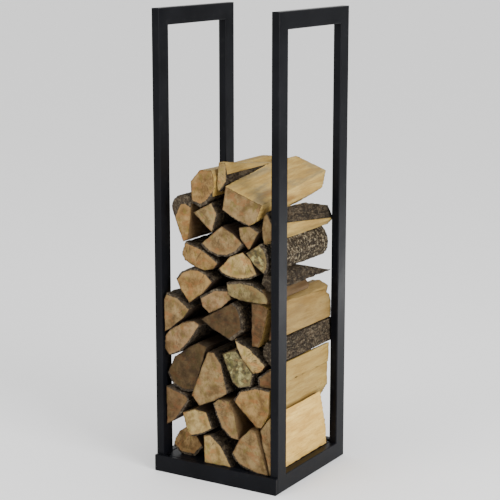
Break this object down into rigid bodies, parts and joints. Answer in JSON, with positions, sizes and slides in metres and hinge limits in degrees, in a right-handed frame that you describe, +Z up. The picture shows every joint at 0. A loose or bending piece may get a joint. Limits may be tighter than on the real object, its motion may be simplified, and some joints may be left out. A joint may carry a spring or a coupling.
{
  "type": "firewood log rack",
  "caption": "Tall open rack of black steel tube for split firewood: two looped side frames on a flat base tray, with a pile of loose logs lying in it.",
  "frame": {"origin": "centre of the footprint, on the floor under the base", "axes": "+Z up, -Y towards the open front where the log ends show, +X to the right seen from the front"},
  "size_m": [0.336, 0.333, 1.1],
  "materials": {
    "black_steel": "satin black powder coat",
    "zinc_fastener": "zinc plated",
    "split_wood": "dry split hardwood with some bark"
  },
  "bodies": {
    "rack": {"left_front_post": "black_steel", "left_rear_post": "black_steel", "left_top_rail": "black_steel", "left_bottom_rail": "black_steel", "right_front_post": "black_steel", "right_rear_post": "black_steel", "right_top_rail": "black_steel", "right_bottom_rail": "black_steel", "front_base_bar": "black_steel", "rear_base_rail": "black_steel", "floor_tray": "black_steel", "tray_screws": "zinc_fastener", "weld_nuts": "zinc_fastener"},
    "log_01": {"log_01": "split_wood"},
    "log_02": {"log_02": "split_wood"},
    "log_03": {"log_03": "split_wood"},
    "log_04": {"log_04": "split_wood"},
    "log_05": {"log_05": "split_wood"},
    "log_06": {"log_06": "split_wood"},
    "log_07": {"log_07": "split_wood"},
    "log_08": {"log_08": "split_wood"},
    "log_09": {"log_09": "split_wood"},
    "log_10": {"log_10": "split_wood"},
    "log_11": {"log_11": "split_wood"},
    "log_12": {"log_12": "split_wood"},
    "log_13": {"log_13": "split_wood"},
    "log_14": {"log_14": "split_wood"},
    "log_15": {"log_15": "split_wood"},
    "log_16": {"log_16": "split_wood"},
    "log_17": {"log_17": "split_wood"},
    "log_18": {"log_18": "split_wood"},
    "log_19": {"log_19": "split_wood"},
    "log_20": {"log_20": "split_wood"},
    "log_21": {"log_21": "split_wood"},
    "log_22": {"log_22": "split_wood"},
    "log_23": {"log_23": "split_wood"},
    "log_24": {"log_24": "split_wood"},
    "log_25": {"log_25": "split_wood"},
    "log_26": {"log_26": "split_wood"},
    "log_27": {"log_27": "split_wood"},
    "log_28": {"log_28": "split_wood"},
    "log_29": {"log_29": "split_wood"},
    "log_30": {"log_30": "split_wood"},
    "log_31": {"log_31": "split_wood"},
    "log_32": {"log_32": "split_wood"},
    "log_33": {"log_33": "split_wood"},
    "log_34": {"log_34": "split_wood"}
  },
  "joints": [
    {"name": "log_01_pull", "type": "slide", "parent": "rack", "child": "log_01", "axis": [0, -1, 0], "range_m": [0, 0.33]},
    {"name": "log_02_pull", "type": "slide", "parent": "rack", "child": "log_02", "axis": [0, -1, 0], "range_m": [0, 0.33]},
    {"name": "log_03_pull", "type": "slide", "parent": "rack", "child": "log_03", "axis": [0, -1, 0], "range_m": [0, 0.33]},
    {"name": "log_04_pull", "type": "slide", "parent": "rack", "child": "log_04", "axis": [0, -1, 0], "range_m": [0, 0.33]},
    {"name": "log_05_pull", "type": "slide", "parent": "rack", "child": "log_05", "axis": [0, -1, 0], "range_m": [0, 0.33]},
    {"name": "log_06_pull", "type": "slide", "parent": "rack", "child": "log_06", "axis": [0, -1, 0], "range_m": [0, 0.33]},
    {"name": "log_07_pull", "type": "slide", "parent": "rack", "child": "log_07", "axis": [0, -1, 0], "range_m": [0, 0.33]},
    {"name": "log_08_pull", "type": "slide", "parent": "rack", "child": "log_08", "axis": [0, -1, 0], "range_m": [0, 0.33]},
    {"name": "log_09_pull", "type": "slide", "parent": "rack", "child": "log_09", "axis": [0, -1, 0], "range_m": [0, 0.33]},
    {"name": "log_10_pull", "type": "slide", "parent": "rack", "child": "log_10", "axis": [0, -1, 0], "range_m": [0, 0.33]},
    {"name": "log_11_pull", "type": "slide", "parent": "rack", "child": "log_11", "axis": [0, -1, 0], "range_m": [0, 0.33]},
    {"name": "log_12_pull", "type": "slide", "parent": "rack", "child": "log_12", "axis": [0, -1, 0], "range_m": [0, 0.33]},
    {"name": "log_13_pull", "type": "slide", "parent": "rack", "child": "log_13", "axis": [0, -1, 0], "range_m": [0, 0.33]},
    {"name": "log_14_pull", "type": "slide", "parent": "rack", "child": "log_14", "axis": [0, -1, 0], "range_m": [0, 0.33]},
    {"name": "log_15_pull", "type": "slide", "parent": "rack", "child": "log_15", "axis": [0, -1, 0], "range_m": [0, 0.33]},
    {"name": "log_16_pull", "type": "slide", "parent": "rack", "child": "log_16", "axis": [0, -1, 0], "range_m": [0, 0.33]},
    {"name": "log_17_pull", "type": "slide", "parent": "rack", "child": "log_17", "axis": [0, -1, 0], "range_m": [0, 0.33]},
    {"name": "log_18_pull", "type": "slide", "parent": "rack", "child": "log_18", "axis": [0, -1, 0], "range_m": [0, 0.33]},
    {"name": "log_19_pull", "type": "slide", "parent": "rack", "child": "log_19", "axis": [0, -1, 0], "range_m": [0, 0.33]},
    {"name": "log_20_pull", "type": "slide", "parent": "rack", "child": "log_20", "axis": [0, -1, 0], "range_m": [0, 0.33]},
    {"name": "log_21_pull", "type": "slide", "parent": "rack", "child": "log_21", "axis": [0, -1, 0], "range_m": [0, 0.33]},
    {"name": "log_22_pull", "type": "slide", "parent": "rack", "child": "log_22", "axis": [0, -1, 0], "range_m": [0, 0.33]},
    {"name": "log_23_pull", "type": "slide", "parent": "rack", "child": "log_23", "axis": [0, -1, 0], "range_m": [0, 0.33]},
    {"name": "log_24_pull", "type": "slide", "parent": "rack", "child": "log_24", "axis": [0, -1, 0], "range_m": [0, 0.33]},
    {"name": "log_25_pull", "type": "slide", "parent": "rack", "child": "log_25", "axis": [0, -1, 0], "range_m": [0, 0.33]},
    {"name": "log_26_pull", "type": "slide", "parent": "rack", "child": "log_26", "axis": [0, -1, 0], "range_m": [0, 0.33]},
    {"name": "log_27_pull", "type": "slide", "parent": "rack", "child": "log_27", "axis": [0, -1, 0], "range_m": [0, 0.33]},
    {"name": "log_28_pull", "type": "slide", "parent": "rack", "child": "log_28", "axis": [0, -1, 0], "range_m": [0, 0.33]},
    {"name": "log_29_pull", "type": "slide", "parent": "rack", "child": "log_29", "axis": [0, -1, 0], "range_m": [0, 0.33]},
    {"name": "log_30_pull", "type": "slide", "parent": "rack", "child": "log_30", "axis": [0, -1, 0], "range_m": [0, 0.33]},
    {"name": "log_31_pull", "type": "slide", "parent": "rack", "child": "log_31", "axis": [0, -1, 0], "range_m": [0, 0.33]},
    {"name": "log_32_pull", "type": "slide", "parent": "rack", "child": "log_32", "axis": [0, -1, 0], "range_m": [0, 0.33]},
    {"name": "log_33_pull", "type": "slide", "parent": "rack", "child": "log_33", "axis": [0, -1, 0], "range_m": [0, 0.33]},
    {"name": "log_34_pull", "type": "slide", "parent": "rack", "child": "log_34", "axis": [0, -1, 0], "range_m": [0, 0.33]}
  ]
}
